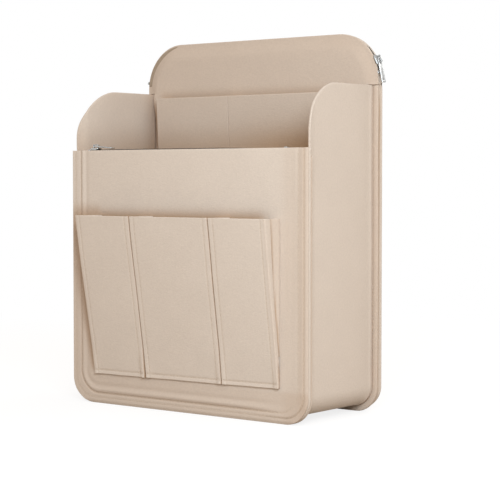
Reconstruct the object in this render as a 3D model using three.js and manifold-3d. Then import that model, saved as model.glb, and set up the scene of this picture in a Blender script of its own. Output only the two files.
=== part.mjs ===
// A felt organizer that stands inside a backpack: a low front wall, a tall back wall and one
// gusset strip round the sides and the bottom, with a pleated pocket outside on the front wall,
// a divided pocket inside on the back wall, and a zip along the top of each two-layer wall.
import * as THREE from 'three';
import { mergeVertices } from 'three/addons/utils/BufferGeometryUtils.js';
import Module from 'manifold-3d';

const wasm = await Module();
wasm.setup();

// Driving dimensions in millimetres. X runs across the front, +Y goes to the back, +Z is up,
// and the origin is the middle of the whole part at the height it stands on.

// Felt and seams
const feltThickness = 2;
const sewnGap = 0.3;              // left between two layers that are sewn together
const seamMargin = 5;             // from the gusset's outer face out to the panels' edge

// Body
const bodyWidth = 240;
const bodyDepth = 100;            // front face of the front wall to rear face of the back wall
const frontHeight = 208;
const backHeight = 299.2;         // the zip stands a little higher than the felt
const gussetTopDrop = 41.2;       // from the back wall's top edge down to the top of the gusset
const bottomCornerRadius = 21;
const backTopCornerRadius = 37;
const gussetFrontRadius = 40;     // the round at the front of each side, above the front wall

// Zip pockets, between the two layers of a wall
const zipPocketGap = 4.8;

// Outer pocket, on the front wall
const outerPocketReach = 20;      // how far its mouth stands out from the front wall
const outerPocketInset = 25.5;    // from the panels' edge in to each side of the pocket's foot
const outerPocketBottom = 25.5;
const outerPocketShift = 0.5;     // it sits this much to the right of the wall's middle
const outerPocketTop = 155;
const outerPleatShare = 0.416;    // place of its two pleats, as a share of its half width
const outerPocketLeftFlare = 5;   // how much further out each side is at the mouth
const outerPocketRightFlare = 0.5;

// Inner pocket, on the back wall
const innerPocketReach = 12;
const innerPocketInset = 19.5;
const innerPocketBottom = 115;
const innerPocketTopDrop = 4.5;     // from the top of the gusset down to the pocket's mouth
const innerPleatX = -20;

// Both pockets
const pocketHem = 6;              // the stretch at the bottom that lies flat on the wall
const pocketFlange = 5;           // turned in under the pocket and sewn to the wall
const pleatGap = 0.4;             // between the two walls of a pleat

// Zips
const tapeThickness = 0.6;
const tapeDrop = 9;               // how far a tape reaches down between the layers
const zipSlit = 1;                // between the two rows of coil, where the slider's post runs
const coilWidth = 1.6;
const coilHeight = 1.2;
const coilStand = 0.8;            // how far the coil stands above the felt's edge
const zipStopLength = 2.2;
const zipEndTape = 1.5;           // bare tape past each end of the coil
const frontZipLeftInset = 13;     // from the panels' edge in to the left end of the front tapes
const frontZipRightInset = 20;    // and to their right end
const backZipStartAngle = 5;      // degrees up the corner's arc, where the tape begins
const zipStopGap = 0.5;           // between a stop and the slider at the end of its travel

// Sliders and their pulls
const sliderLength = 8.6;
const sliderPlate = 0.8;
const sliderLip = 0.6;            // thickness of the lips beside the coil
const sliderPlateRound = 1.4;
const sliderClearance = 0.3;
const sliderLowerPlateWidth = 2.4;
const sliderLowerPlateRound = 0.4;
const sliderLowerClearance = 0.45;
const sliderPostWidth = 0.4;
const sliderPostLength = 2.4;
const sliderPostInset = 1.2;      // from the slider's closing end
const crownLength = 5.8;
const crownWidth = 1.4;
const crownWall = 0.9;
const crownBar = 0.7;
const pullLength = 19;
const pullWidth = 4.6;
const pullThickness = 0.9;
const pullRootBar = 0.9;
const pullRound = 0.4;            // of its corners, seen from above
const pullWindowLength = 3.8;
const pullWindowWidth = 2.5;
const pullEndHoleRadius = 0.9;
const pullEndHoleInset = 2.4;     // from the pull's free end to the middle of its hole
const pullRise = 1.1;             // between the slider's top plate and the pull's root bar
const pullPlay = 0.3;             // between the root bar and the top of the crown
const frontPullDroop = 5;         // degrees below parallel at which each pull rests
const backPullDroop = 12;
const backSliderAngle = 24;       // degrees up the corner's arc

// How finely round outlines are cut
const cornerSegments = 10;
const pullBarSides = 12;
const zipStepAngle = 3;           // degrees along the corner's arc

// Places that follow from the sizes
const halfWidth = bodyWidth / 2;
const frontFaceY = outerPocketReach - (bodyDepth + outerPocketReach) / 2;
const rearFaceY = frontFaceY + bodyDepth;
const layerPitch = feltThickness + sewnGap;
const gussetInset = seamMargin + feltThickness;
const gussetHeight = backHeight - gussetTopDrop;
const panDrop = zipPocketGap - sewnGap;
const frontZipY = frontFaceY + feltThickness + zipPocketGap / 2;
const backZipY = rearFaceY - feltThickness - zipPocketGap / 2;
const beyond = 20;                // how far a cutting solid runs past what it cuts

// Materials
const feltMaterial = () => new THREE.MeshStandardMaterial({ color: 0xd6c6b4, roughness: 0.95 });
const tapeMaterial = () => new THREE.MeshStandardMaterial({ color: 0xb9a48e, roughness: 0.85 });
const coilMaterial = () => new THREE.MeshStandardMaterial({ color: 0x4a3a2e, roughness: 0.5 });
const metalMaterial = () => (
  new THREE.MeshStandardMaterial({ color: 0xc8c8c6, roughness: 0.25, metalness: 1 })
);

const organizer = new THREE.Group();

// Solids: a closed geometry becomes a solid for the cuts, and a solid becomes a mesh

function solidFrom(geometry) {
  geometry.deleteAttribute('normal');
  geometry.deleteAttribute('uv');
  const merged = mergeVertices(geometry);
  return new wasm.Manifold(new wasm.Mesh({
    numProp: 3,
    vertProperties: new Float32Array(merged.attributes.position.array),
    triVerts: new Uint32Array(merged.index.array),
  }));
}

function meshFrom(name, solid, material) {
  const cut = solid.getMesh();
  const geometry = new THREE.BufferGeometry();
  geometry.setAttribute('position', new THREE.BufferAttribute(cut.vertProperties, 3));
  geometry.setIndex(new THREE.BufferAttribute(cut.triVerts, 1));
  geometry.computeVertexNormals();
  const mesh = new THREE.Mesh(geometry, material);
  mesh.name = name;
  return mesh;
}

// An outline drawn in X and Z, as a solid between two Y planes
function slab(outline, lowY, highY) {
  const geometry = new THREE.ExtrudeGeometry(outline, {
    depth: highY - lowY,
    bevelEnabled: false,
    curveSegments: cornerSegments,
  });
  geometry.rotateX(Math.PI / 2);
  geometry.translate(0, highY, 0);
  return solidFrom(geometry);
}

// An outline drawn in Y and Z, as a solid between two X planes
function crossSlab(outline, lowX, highX) {
  const geometry = new THREE.ExtrudeGeometry(outline, {
    depth: highX - lowX,
    bevelEnabled: false,
    curveSegments: cornerSegments,
  });
  geometry.applyMatrix4(new THREE.Matrix4().makeBasis(
    new THREE.Vector3(0, 1, 0),
    new THREE.Vector3(0, 0, 1),
    new THREE.Vector3(1, 0, 0),
  ));
  geometry.translate(lowX, 0, 0);
  return solidFrom(geometry);
}

function block(low, high) {
  const size = high.map((value, axis) => value - low[axis]);
  const geometry = new THREE.BoxGeometry(...size);
  geometry.translate(...low.map((value, axis) => value + size[axis] / 2));
  return solidFrom(geometry);
}

function polygon(points) {
  return new THREE.Shape(points.map(([x, y]) => new THREE.Vector2(x, y)));
}

// The outline of a wall, drawn in X and Z and set in from the panels' edge
function wallOutline(inset, top, topRadius = 0) {
  const x = halfWidth - inset;
  const lower = bottomCornerRadius - inset;
  const shape = new THREE.Shape();
  shape.moveTo(lower - x, inset);
  shape.lineTo(x - lower, inset);
  shape.absarc(x - lower, inset + lower, lower, -Math.PI / 2, 0, false);
  if (topRadius > 0) {
    shape.lineTo(x, top - topRadius);
    shape.absarc(x - topRadius, top - topRadius, topRadius, 0, Math.PI / 2, false);
    shape.lineTo(topRadius - x, top);
    shape.absarc(topRadius - x, top - topRadius, topRadius, Math.PI / 2, Math.PI, false);
  } else {
    shape.lineTo(x, top);
    shape.lineTo(-x, top);
  }
  shape.lineTo(-x, inset + lower);
  shape.absarc(lower - x, inset + lower, lower, Math.PI, Math.PI * 1.5, false);
  return shape;
}

const frontOutline = wallOutline(0, frontHeight);
const backOutline = wallOutline(0, backHeight, backTopCornerRadius);

// The hollow of a dished panel: its floor has the outline, and it widens with a 45 degree slope
// up to the seam level, past which it runs on by one thickness of felt
function dish(outline, seamY, floorY) {
  const slope = Math.abs(floorY - seamY);
  const geometry = new THREE.ExtrudeGeometry(outline, {
    depth: feltThickness,
    bevelEnabled: true,
    bevelThickness: slope,
    bevelSize: slope,
    bevelSegments: 1,
    curveSegments: cornerSegments,
  });
  geometry.rotateX(Math.PI / 2);
  geometry.translate(0, floorY > seamY ? seamY : seamY + feltThickness, 0);
  return solidFrom(geometry);
}

// A felt layer that lies in the seam at its edges and is dished away from the other layer
// everywhere else, which leaves room for the zip and for what the zip pocket holds
function dishedPanel(outline, dishOutline, seamNearY, direction) {
  const seamFarY = seamNearY + direction * feltThickness;
  const floorFarY = seamFarY + direction * panDrop;
  const wallSlope = feltThickness * (Math.SQRT2 - 1);
  const inset = gussetInset + sewnGap + panDrop;
  const flat = slab(outline, Math.min(seamNearY, seamFarY), Math.max(seamNearY, seamFarY));
  const whole = slab(outline, Math.min(seamNearY, floorFarY), Math.max(seamNearY, floorFarY));
  const outside = dish(dishOutline(inset, 0), seamFarY, floorFarY);
  const inside = dish(
    dishOutline(inset + wallSlope, wallSlope), seamNearY, seamNearY + direction * panDrop,
  );
  return flat.add(outside.intersect(whole)).subtract(inside);
}

function frontDishOutline(inset) {
  return wallOutline(inset, frontHeight + beyond);
}

// Above the gusset the back wall's dish runs out past the edge, where the zip is
function backDishOutline(inset, rise) {
  const x = halfWidth - inset;
  const lower = bottomCornerRadius - inset;
  const shoulder = gussetHeight + sewnGap + panDrop + rise;
  const wide = halfWidth + beyond;
  const shape = new THREE.Shape();
  shape.moveTo(lower - x, inset);
  shape.lineTo(x - lower, inset);
  shape.absarc(x - lower, inset + lower, lower, -Math.PI / 2, 0, false);
  shape.lineTo(x, shoulder);
  shape.lineTo(wide, shoulder);
  shape.lineTo(wide, backHeight + beyond);
  shape.lineTo(-wide, backHeight + beyond);
  shape.lineTo(-wide, shoulder);
  shape.lineTo(-x, shoulder);
  shape.lineTo(-x, inset + lower);
  shape.absarc(lower - x, inset + lower, lower, Math.PI, Math.PI * 1.5, false);
  return shape;
}

function addWalls() {
  const frontOuter = slab(frontOutline, frontFaceY, frontFaceY + feltThickness);
  const frontInner = dishedPanel(frontOutline, frontDishOutline, frontFaceY + layerPitch, 1);
  const backInner = dishedPanel(backOutline, backDishOutline, rearFaceY - layerPitch, -1);
  const backOuter = slab(backOutline, rearFaceY - feltThickness, rearFaceY);
  organizer.add(meshFrom('front_outer_panel', frontOuter, feltMaterial()));
  organizer.add(meshFrom('front_inner_panel', frontInner, feltMaterial()));
  organizer.add(meshFrom('back_inner_panel', backInner, feltMaterial()));
  organizer.add(meshFrom('back_outer_panel', backOuter, feltMaterial()));
}

// Gusset: one strip up the left side, along the bottom and up the right side, with both edges
// turned out and sewn behind the walls' margins

function gussetStrip(outerInset, top, lowY, highY) {
  const outside = slab(wallOutline(outerInset, top), lowY, highY);
  const inside = slab(wallOutline(gussetInset, top + beyond), lowY - beyond, highY + beyond);
  return outside.subtract(inside);
}

function gussetSideOutline(frontY, rearY) {
  const shape = new THREE.Shape();
  shape.moveTo(frontY, -beyond);
  shape.lineTo(rearY, -beyond);
  shape.lineTo(rearY, gussetHeight);
  shape.lineTo(frontY + gussetFrontRadius, gussetHeight);
  shape.absarc(
    frontY + gussetFrontRadius, gussetHeight - gussetFrontRadius, gussetFrontRadius,
    Math.PI / 2, Math.PI, false,
  );
  return shape;
}

function addGusset() {
  const frontY = frontFaceY + 2 * layerPitch;
  const rearY = rearFaceY - 2 * layerPitch;
  const sides = crossSlab(
    gussetSideOutline(frontY, rearY), -halfWidth - beyond, halfWidth + beyond,
  );
  const wall = gussetStrip(seamMargin, gussetHeight, frontY, rearY).intersect(sides);
  const frontFlange = gussetStrip(0, frontHeight, frontY, frontY + feltThickness);
  const rearFlange = gussetStrip(0, gussetHeight, rearY - feltThickness, rearY);
  const gusset = wall.add(frontFlange).add(rearFlange);
  organizer.add(meshFrom('gusset', gusset, feltMaterial()));
}

// Pockets: one felt strip that runs out from the wall, across and back again at each end and
// pleat, wide at the mouth and flat on the wall at the bottom. The pocket stands out towards -Y.

function pocketStrip(wallY, reach, bottom, top, edges, leftFlare, rightFlare) {
  const seatY = wallY - sewnGap;
  const hemTop = bottom + pocketHem;
  const hemFaceY = seatY - feltThickness;
  const mouthFaceY = wallY - reach;
  const left = edges[0];
  const right = edges[edges.length - 1];
  const face = crossSlab(polygon([
    [hemFaceY, bottom],
    [seatY, bottom],
    [seatY, hemTop],
    [mouthFaceY + feltThickness, top],
    [mouthFaceY, top],
    [hemFaceY, hemTop],
  ]), left, right);
  const sideOutline = polygon([
    [seatY, hemTop],
    [seatY, top],
    [mouthFaceY + feltThickness / 2, top],
    [hemFaceY + feltThickness / 2, hemTop],
  ]);
  let strip = face;
  const addSide = (outerX, towards) => {
    const wallX = outerX + towards * feltThickness;
    const flangeX = outerX + towards * (feltThickness + pocketFlange);
    const side = crossSlab(sideOutline, Math.min(outerX, wallX), Math.max(outerX, wallX));
    const flange = block(
      [Math.min(outerX, flangeX), seatY - feltThickness, hemTop],
      [Math.max(outerX, flangeX), seatY, top],
    );
    strip = strip.add(side).add(flange);
  };
  addSide(left, 1);
  addSide(right, -1);
  for (const pleatX of edges.slice(1, -1)) {
    addSide(pleatX + pleatGap / 2, 1);
    addSide(pleatX - pleatGap / 2, -1);
    strip = strip.subtract(block(
      [pleatX - pleatGap / 2, mouthFaceY - beyond, hemTop],
      [pleatX + pleatGap / 2, seatY - feltThickness, top + beyond],
    ));
  }
  // The two ends lean out, more so towards the mouth face
  const endWidth = 2 * feltThickness + pocketFlange;
  return strip.warp((point) => {
    const flare = point[0] > right - endWidth ? rightFlare : point[0] < left + endWidth ? -leftFlare : 0;
    point[0] += flare * Math.max(0, seatY - point[1]) / reach;
  });
}

function addPockets() {
  const outerHalfWidth = halfWidth - outerPocketInset;
  const outerPleatX = outerHalfWidth * outerPleatShare;
  const innerHalfWidth = halfWidth - innerPocketInset;
  const outerPocket = pocketStrip(
    frontFaceY, outerPocketReach, outerPocketBottom, outerPocketTop,
    [-outerHalfWidth, -outerPleatX, outerPleatX, outerHalfWidth].map((x) => x + outerPocketShift),
    outerPocketLeftFlare, outerPocketRightFlare,
  );
  const innerPocket = pocketStrip(
    rearFaceY - layerPitch - feltThickness - panDrop, innerPocketReach,
    innerPocketBottom, gussetHeight - innerPocketTopDrop,
    [-innerHalfWidth, innerPleatX, innerHalfWidth], 0, 0,
  );
  organizer.add(meshFrom('outer_pocket', outerPocket, feltMaterial()));
  organizer.add(meshFrom('inner_pocket', innerPocket, feltMaterial()));
}

// Zips: a path along the felt's edge in X and Z, with the direction that points away from it

function straightPath(lowX, highX, z) {
  return [lowX, highX].map((x) => ({ x, z, outX: 0, outZ: 1 }));
}

// Round the back wall's two top corners, from one side of the arch to the other
function archPath(startAngle) {
  const centreX = halfWidth - backTopCornerRadius;
  const centreZ = backHeight - backTopCornerRadius;
  const steps = Math.ceil((90 - startAngle) / zipStepAngle);
  const right = [];
  for (let step = 0; step <= steps; step += 1) {
    const angle = THREE.MathUtils.degToRad(startAngle + (90 - startAngle) * step / steps);
    const outX = Math.cos(angle);
    const outZ = Math.sin(angle);
    right.push({
      x: centreX + backTopCornerRadius * outX,
      z: centreZ + backTopCornerRadius * outZ,
      outX,
      outZ,
    });
  }
  const left = right.map((point) => ({ ...point, x: -point.x, outX: -point.outX }));
  return right.concat(left.reverse());
}

function bandOutline(path, low, high) {
  const offset = (point, distance) => (
    new THREE.Vector2(point.x + point.outX * distance, point.z + point.outZ * distance)
  );
  const outer = path.map((point) => offset(point, high));
  const inner = path.map((point) => offset(point, low)).reverse();
  return new THREE.Shape(outer.concat(inner));
}

const coilLow = coilStand - coilHeight;
const tapeHigh = coilLow - sewnGap;
const tapeLow = tapeHigh - tapeThickness;
const tapeEdge = zipPocketGap / 2 - sewnGap;

// lowestZ is where the tapes are trimmed level, clear of what lies under their ends
function addZip(prefix, tapePath, coilPath, stops, centreY, lowestZ) {
  for (const [name, side] of [['front', -1], ['rear', 1]]) {
    const between = (outline, from, to) => slab(
      outline,
      centreY + Math.min(side * from, side * to),
      centreY + Math.max(side * from, side * to),
    );
    const shelf = between(bandOutline(tapePath, tapeLow, tapeHigh), zipSlit / 2, tapeEdge);
    const leg = between(
      bandOutline(tapePath, tapeLow - tapeDrop, tapeHigh), tapeEdge - tapeThickness, tapeEdge,
    );
    const coil = between(
      bandOutline(coilPath, coilLow, coilStand), zipSlit / 2, zipSlit / 2 + coilWidth,
    );
    const room = block(
      [-halfWidth, -bodyDepth, lowestZ], [halfWidth, bodyDepth, backHeight + beyond],
    );
    const tape = shelf.add(leg).intersect(room);
    organizer.add(meshFrom(`${prefix}_zip_tape_${name}`, tape, tapeMaterial()));
    organizer.add(meshFrom(`${prefix}_zip_coil_${name}`, coil, coilMaterial()));
  }
  const halfChain = zipSlit / 2 + coilWidth;
  const stopSpans = {
    top_stop_front: [-halfChain, -zipSlit / 2],
    top_stop_rear: [zipSlit / 2, halfChain],
    bottom_stop: [-halfChain, halfChain],
  };
  for (const [name, [lowY, highY]] of Object.entries(stopSpans)) {
    const stop = block([-zipStopLength / 2, lowY, coilLow], [zipStopLength / 2, highY, coilStand]);
    const mesh = meshFrom(`${prefix}_zip_${name}`, stop, metalMaterial());
    const place = name === 'bottom_stop' ? stops.bottom : stops.top;
    mesh.position.set(place.x, centreY, place.z);
    mesh.rotation.y = place.turn;
    organizer.add(mesh);
  }
}

// Slider: two plates joined by a post between the coil rows, lips beside the coil and a crown.
// It is drawn with X along the zip, Y across it and Z away from the felt's edge.

const plateLow = coilStand + sliderClearance;
const plateHigh = plateLow + sliderPlate;
const lipInner = zipSlit / 2 + coilWidth + sliderClearance;
const pinHeight = plateHigh + pullRise + pullRootBar / 2;
const crownInnerHeight = pinHeight + pullRootBar / 2 + pullPlay;

function roundedPlate(lowX, highX, width, radius) {
  const shape = new THREE.Shape();
  const y = width / 2;
  shape.moveTo(lowX + radius, -y);
  shape.lineTo(highX - radius, -y);
  shape.absarc(highX - radius, radius - y, radius, -Math.PI / 2, 0, false);
  shape.lineTo(highX, y - radius);
  shape.absarc(highX - radius, y - radius, radius, 0, Math.PI / 2, false);
  shape.lineTo(lowX + radius, y);
  shape.absarc(lowX + radius, y - radius, radius, Math.PI / 2, Math.PI, false);
  shape.lineTo(lowX, radius - y);
  shape.absarc(lowX + radius, radius - y, radius, Math.PI, Math.PI * 1.5, false);
  return shape;
}

function plate(outline, lowZ, highZ) {
  const geometry = new THREE.ExtrudeGeometry(outline, {
    depth: highZ - lowZ,
    bevelEnabled: false,
    curveSegments: cornerSegments / 2,
  });
  geometry.translate(0, 0, lowZ);
  return solidFrom(geometry);
}

function sliderSolid() {
  const half = sliderLength / 2;
  const lipOuter = lipInner + sliderLip;
  const lowerHigh = tapeLow - sliderLowerClearance;
  const upper = plate(
    roundedPlate(-half, half, 2 * lipOuter, sliderPlateRound), plateLow, plateHigh,
  );
  const lower = plate(
    roundedPlate(-half, half, sliderLowerPlateWidth, sliderLowerPlateRound),
    lowerHigh - sliderPlate, lowerHigh,
  );
  const post = block(
    [sliderPostInset - half, -sliderPostWidth / 2, lowerHigh - sliderPlate / 2],
    [sliderPostInset + sliderPostLength - half, sliderPostWidth / 2, plateLow + sliderPlate / 2],
  );
  const crownOutside = block(
    [-crownLength / 2, -crownWidth / 2, plateLow + sliderPlate / 2],
    [crownLength / 2, crownWidth / 2, crownInnerHeight + crownBar],
  );
  const crownInside = block(
    [crownWall - crownLength / 2, -crownWidth, plateHigh],
    [crownLength / 2 - crownWall, crownWidth, crownInnerHeight],
  );
  let slider = upper.add(lower).add(post).add(crownOutside.subtract(crownInside));
  for (const side of [-1, 1]) {
    slider = slider.add(block(
      [sliderPlateRound - half, Math.min(side * lipInner, side * lipOuter), sewnGap],
      [half - sliderPlateRound, Math.max(side * lipInner, side * lipOuter), plateHigh],
    ));
  }
  return slider;
}

// The pull's root bar is round and lies on the pin axis, and the pull runs towards +X from it
function pullSolid() {
  const outline = roundedPlate(0, pullLength, pullWidth, pullRound);
  const window = new THREE.Path();
  window.moveTo(pullRootBar / 2, -pullWindowWidth / 2);
  window.lineTo(pullRootBar / 2, pullWindowWidth / 2);
  window.lineTo(pullRootBar / 2 + pullWindowLength, pullWindowWidth / 2);
  window.lineTo(pullRootBar / 2 + pullWindowLength, -pullWindowWidth / 2);
  window.closePath();
  const endHole = new THREE.Path();
  endHole.absarc(pullLength - pullEndHoleInset, 0, pullEndHoleRadius, 0, Math.PI * 2, true);
  outline.holes.push(window, endHole);
  const rootBar = solidFrom(
    new THREE.CylinderGeometry(pullRootBar / 2, pullRootBar / 2, pullWidth, pullBarSides),
  );
  return plate(outline, -pullThickness / 2, pullThickness / 2).add(rootBar);
}

function addSlider(prefix, carrier, distance, droop) {
  const slider = meshFrom(`${prefix}_zip_slider`, sliderSolid(), metalMaterial());
  slider.position.z = distance;
  const pull = meshFrom(`${prefix}_zip_pull`, pullSolid(), metalMaterial());
  pull.position.z = distance + pinHeight;
  pull.rotation.y = THREE.MathUtils.degToRad(droop);
  carrier.add(slider, pull);
  organizer.add(carrier);
}

function addFrontZip() {
  const tapeLeft = frontZipLeftInset - halfWidth;
  const tapeRight = halfWidth - frontZipRightInset;
  const stopInset = zipEndTape + zipStopLength / 2;
  const coilInset = zipEndTape + zipStopLength + sewnGap;
  addZip(
    'front',
    straightPath(tapeLeft, tapeRight, frontHeight),
    straightPath(tapeLeft + coilInset, tapeRight - coilInset, frontHeight),
    {
      top: { x: tapeLeft + stopInset, z: frontHeight, turn: 0 },
      bottom: { x: tapeRight - stopInset, z: frontHeight, turn: 0 },
    },
    frontZipY,
    frontHeight - beyond,
  );
  const carrier = new THREE.Group();
  const parkedX = tapeLeft + coilInset + zipStopGap + sliderLength / 2;
  carrier.position.set(parkedX, frontZipY, frontHeight);
  addSlider('front', carrier, 0, frontPullDroop);
}

// Along the corner's arc, lengths become angles
function addBackZip() {
  const alongArc = (length) => THREE.MathUtils.radToDeg(length / backTopCornerRadius);
  const stopAngle = backZipStartAngle + alongArc(zipEndTape + zipStopLength / 2);
  const coilAngle = stopAngle + alongArc(zipStopLength / 2 + sewnGap);
  const centreX = halfWidth - backTopCornerRadius;
  const centreZ = backHeight - backTopCornerRadius;
  const stopTurn = Math.PI / 2 - THREE.MathUtils.degToRad(stopAngle);
  const stopX = centreX + backTopCornerRadius * Math.sin(stopTurn);
  const stopZ = centreZ + backTopCornerRadius * Math.cos(stopTurn);
  addZip(
    'back',
    archPath(backZipStartAngle),
    archPath(coilAngle),
    {
      top: { x: stopX, z: stopZ, turn: stopTurn },
      bottom: { x: -stopX, z: stopZ, turn: -stopTurn },
    },
    backZipY,
    gussetHeight + panDrop + feltThickness,
  );
  const carrier = new THREE.Group();
  carrier.position.set(centreX, backZipY, centreZ);
  carrier.rotation.y = Math.PI / 2 - THREE.MathUtils.degToRad(backSliderAngle);
  addSlider('back', carrier, backTopCornerRadius, backPullDroop);
}

addWalls();
addGusset();
addPockets();
addFrontZip();
addBackZip();

export default organizer;
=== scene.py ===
import bisect
import math

import bmesh
import bpy
from mathutils import Matrix, Vector, noise


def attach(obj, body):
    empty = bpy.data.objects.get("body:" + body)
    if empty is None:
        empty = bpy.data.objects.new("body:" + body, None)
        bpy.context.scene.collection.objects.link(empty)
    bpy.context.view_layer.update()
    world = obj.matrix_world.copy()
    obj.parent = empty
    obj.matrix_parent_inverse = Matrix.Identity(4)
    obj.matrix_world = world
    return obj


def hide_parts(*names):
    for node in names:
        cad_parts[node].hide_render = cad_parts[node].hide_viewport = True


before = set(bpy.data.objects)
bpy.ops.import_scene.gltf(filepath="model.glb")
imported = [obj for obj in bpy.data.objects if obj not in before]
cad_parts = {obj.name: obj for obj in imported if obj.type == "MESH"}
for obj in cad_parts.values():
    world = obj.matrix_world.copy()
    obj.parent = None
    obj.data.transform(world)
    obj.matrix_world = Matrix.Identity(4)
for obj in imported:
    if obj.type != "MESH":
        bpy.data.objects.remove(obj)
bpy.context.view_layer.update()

# Sizes are in millimetres until a mesh is finished
MM = 0.001

# Felt and walls
HALF_WIDTH = 120
FRONT_HEIGHT = 208
BACK_HEIGHT = 299.2
GUSSET_HEIGHT = 258
BOTTOM_ROUND = 21
BACK_TOP_ROUND = 37
GUSSET_ROUND = 40
SEAM_MARGIN = 5
FRONT_FACE = -40
REAR_FACE = 60
FELT_THICKNESS = 2
LAYER_PITCH = 2.3
EDGE_ROUND = 0.4

# Between its seams, the lining of each wall lies further from the outer layer
PAN_DROP = 4.5
PAN_RIM = 7.6
PAN_FLOOR = 12.4

# Lower edge, upper edge and reach of each pocket, and where the outer one meets the wall at the left
OUTER_BOTTOM, OUTER_TOP, OUTER_REACH = 25.8, 155, 20
OUTER_LEFT = -94
INNER_BOTTOM, INNER_TOP, INNER_REACH = 115, 253.5, 12

# Stitching
STITCH = 3.1
STITCH_GAP = 0.7
STITCH_SINK = 0.85
THREAD = 0.24
SEAM_LINE = 8.5
SEAM_ROUND = 18.5
EDGE_LINE = 3.5
EDGE_LINE_BOTTOM = 5.0

# Colours of the felt, the tints of its painted shade in seams and creases, and how much painted shade
# lies in its hollows, over the linings and inside the gusset, as shares of the crease tint
PALE_FELT = (0.740, 0.636, 0.538)
DEEP_FELT = (0.662, 0.566, 0.478)
SEAM_SHADE_TINT = (0.72, 0.62, 0.52)
CREASE_SHADE_TINT = (0.49, 0.29, 0.12)
BESIDE_OUTER = 0.55
ABOVE_OUTER = 0.76
FRONT_MARGIN = 0.17
BACK_LINING = 0.21
BESIDE_INNER = 0.42
ABOVE_INNER = 0.3
INNER_POCKET = 0.18
INNER_POCKET_DEEP = 0.34
GUSSET_INSIDE = 0.07
GUSSET_LOW = 0.46
GUSSET_REAR_INSIDE = 0.24
OUTER_END = 0.11
OUTER_END_GROOVE = 0.62
PLEAT = 0.8


# Shader building: sums and products of Value add Math nodes

class Value:
    def __init__(self, finish, socket):
        self.finish = finish
        self.socket = socket

    def math(self, operation, first, second):
        return self.finish.value("ShaderNodeMath", {"operation": operation}, {0: first, 1: second})

    def __add__(self, other):
        return self.math("ADD", self, other)

    __radd__ = __add__

    def __mul__(self, other):
        return self.math("MULTIPLY", self, other)

    __rmul__ = __mul__


class Finish:
    """The nodes of a material, or of a world."""

    def __init__(self, name, world=None):
        self.owner = world or bpy.data.materials.new(name)
        self.owner.use_nodes = True
        self.tree = self.owner.node_tree
        self.tree.nodes.clear()
        self.place = self.value("ShaderNodeTexCoord", {}, {}, "Object")

    def node(self, kind, settings, sockets):
        node = self.tree.nodes.new(kind)
        for key, value in settings.items():
            setattr(node, key, value)
        for key, value in sockets.items():
            if isinstance(value, Value):
                self.tree.links.new(value.socket, node.inputs[key])
            else:
                node.inputs[key].default_value = value
        return node

    def value(self, kind, settings, sockets, output=0):
        return Value(self, self.node(kind, settings, sockets).outputs[output])

    def grain(self, scale, detail=3, roughness=0.55, stretch=None):
        place = self.place
        if stretch:
            turn, size = stretch
            place = self.value(
                "ShaderNodeMapping", {}, {"Vector": place, "Rotation": turn, "Scale": size}
            )
        return self.value(
            "ShaderNodeTexNoise", {},
            {"Vector": place, "Scale": scale, "Detail": detail, "Roughness": roughness},
        )

    def spread(self, value, low, high, to_low=0.0, to_high=1.0):
        return self.value(
            "ShaderNodeMapRange", {},
            {"Value": value, "From Min": low, "From Max": high, "To Min": to_low, "To Max": to_high},
        )

    def colour_mix(self, factor, first, second, blend="MIX"):
        node = self.node(
            "ShaderNodeMix", {"data_type": "RGBA", "blend_type": blend},
            {"Factor": factor},
        )
        for socket, colour in ((node.inputs[6], first), (node.inputs[7], second)):
            if isinstance(colour, Value):
                self.tree.links.new(colour.socket, socket)
            else:
                socket.default_value = (*colour, 1)
        return Value(self, node.outputs[2])

    def bump(self, height, strength, distance):
        return self.value(
            "ShaderNodeBump", {}, {"Height": height, "Strength": strength, "Distance": distance}
        )

    def surface(self, sockets):
        self.output(self.value("ShaderNodeBsdfPrincipled", {}, sockets))
        return self.owner

    def output(self, shader):
        self.node("ShaderNodeOutputMaterial", {}, {"Surface": shader})


def felt_finish():
    """Pressed fibres of a mottled tone, with painted shade where a piece's seam and crease attributes
    say.
    """
    finish = Finish("pressed_felt")
    cloud = finish.grain(38, 2)
    mottle = finish.grain(600, 4, 0.62)
    speck = finish.grain(1500, 3, 0.7)
    fine, long = 2600, 420
    fibre_a = finish.grain(1, 2, 0.6, ((0.4, 0.3, 0.7), (fine, long, fine)))
    fibre_b = finish.grain(1, 2, 0.6, ((1.1, -0.5, -0.9), (long, fine, fine)))
    fibre_c = finish.grain(1, 2, 0.6, ((-0.7, 0.9, 0.2), (fine, fine, long)))
    seam = finish.value("ShaderNodeAttribute", {"attribute_name": "seam"}, {}, "Fac")
    crease = finish.value("ShaderNodeAttribute", {"attribute_name": "crease"}, {}, "Fac")
    fibres = (fibre_a + fibre_b + fibre_c) * 0.3333
    tone = finish.spread(cloud * 0.14 + mottle * 0.42 + speck * 0.17 + fibres * 0.27, 0.37, 0.63)
    colour = finish.colour_mix(tone, DEEP_FELT, PALE_FELT)
    # Painted shade: the seam attribute darkens the stitch grooves, and the crease attribute darkens
    # creases, hollows and shadowed places
    shaded_colour = finish.colour_mix(finish.spread(seam, 0, 1, 0, 0.55), colour, SEAM_SHADE_TINT, "MULTIPLY")
    shaded_colour = finish.colour_mix(crease, shaded_colour, CREASE_SHADE_TINT, "MULTIPLY")
    height = fibres * 0.6 + speck * 0.25 + mottle * 0.3
    return finish.surface({
        "Base Color": shaded_colour,
        "Roughness": 0.93,
        "Specular IOR Level": 0.25,
        "Sheen Weight": 0.12,
        "Sheen Roughness": 0.45,
        "Normal": finish.bump(height, 0.55, 0.0009),
    })


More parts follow.
